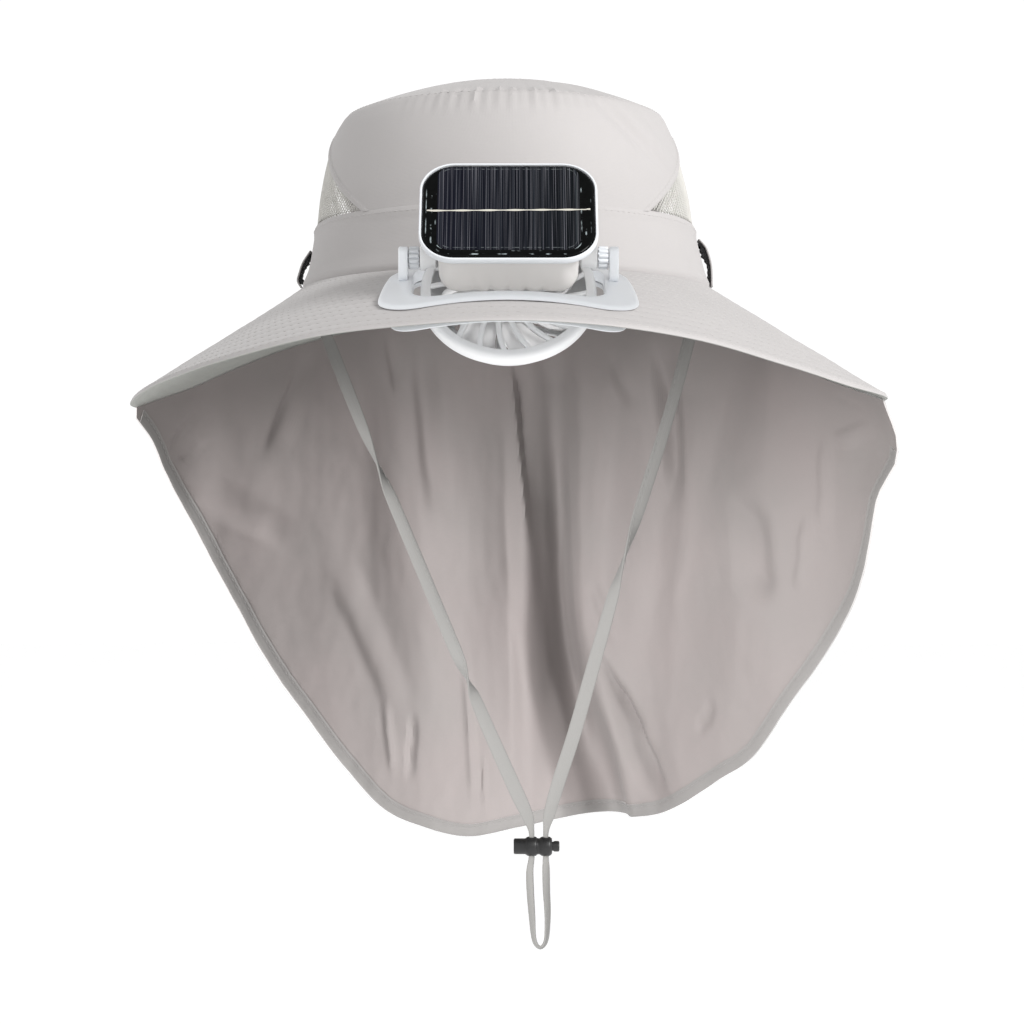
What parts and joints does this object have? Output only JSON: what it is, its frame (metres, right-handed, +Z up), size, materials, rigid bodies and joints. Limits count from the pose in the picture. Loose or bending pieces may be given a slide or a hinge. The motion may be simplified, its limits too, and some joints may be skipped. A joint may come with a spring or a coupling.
{
  "type": "solar fan sun hat with neck flap",
  "caption": "Wide-brimmed cloth sun hat with a clip-on tilting fan and solar panel at the front, net side vents, a long neck flap and a chin strap with a cord lock.",
  "frame": {"origin": "centre of the oval where the crown meets the brim, which is where the hat sits on a head", "axes": "+Z up towards the crown's tip, -Y towards the front with the fan, +X towards the right of a person who faces the front of the hat"},
  "size_m": [0.3266, 0.366, 0.3753],
  "materials": {
    "warm_grey_cloth": "light warm grey woven polyester with a faint sheen, topstitched",
    "net_cloth": "pale open net",
    "black_elastic": "black gathered elastic",
    "white_plastic": "smooth cool white moulding",
    "grey_blade_plastic": "light grey moulded blades",
    "motor_steel": "plain motor can",
    "solar_glass": "glossy dark cell with fine upright lines and a pale bar across",
    "black_plastic": "satin black moulding"
  },
  "bodies": {
    "hat": {"crown_top": "warm_grey_cloth", "crown_front_panel": "warm_grey_cloth", "crown_back_panel": "warm_grey_cloth", "crown_band": "warm_grey_cloth", "brim": "warm_grey_cloth", "neck_flap": "warm_grey_cloth", "side_tab_left": "warm_grey_cloth", "side_tab_right": "warm_grey_cloth", "chin_strap": "warm_grey_cloth", "mesh_vent_left": "net_cloth", "mesh_vent_right": "net_cloth", "side_elastic_left": "black_elastic", "side_elastic_right": "black_elastic", "clip_plate_upper": "white_plastic", "clip_plate_lower": "white_plastic", "lock_barrel": "black_plastic"},
    "fan_head": {"fan_cage_front": "white_plastic", "fan_cage_back": "white_plastic", "fan_motor": "motor_steel", "fan_housing": "white_plastic", "panel_tray": "white_plastic", "solar_panel": "solar_glass", "pivot_drum_left": "white_plastic", "pivot_drum_right": "white_plastic"},
    "impeller_wheel": {"impeller": "grey_blade_plastic"},
    "plunger": {"lock_plunger": "black_plastic"}
  },
  "joints": [
    {"name": "fan_tilt", "type": "hinge", "parent": "hat", "child": "fan_head", "pos_m": [0, -0.138, -0.0005], "axis": [1, 0, 0], "range_deg": [-15, 15]},
    {"name": "impeller_spin", "type": "hinge", "parent": "fan_head", "child": "impeller_wheel", "pos_m": [0, -0.1466, -0.01279], "axis": [0, -0.8192, 0.5736], "continuous": true},
    {"name": "lock_press", "type": "slide", "parent": "hat", "child": "plunger", "axis": [-1, 0, 0], "range_m": [0, 0.0022], "stiffness_N_per_m": 400, "springref_m": -0.004}
  ]
}
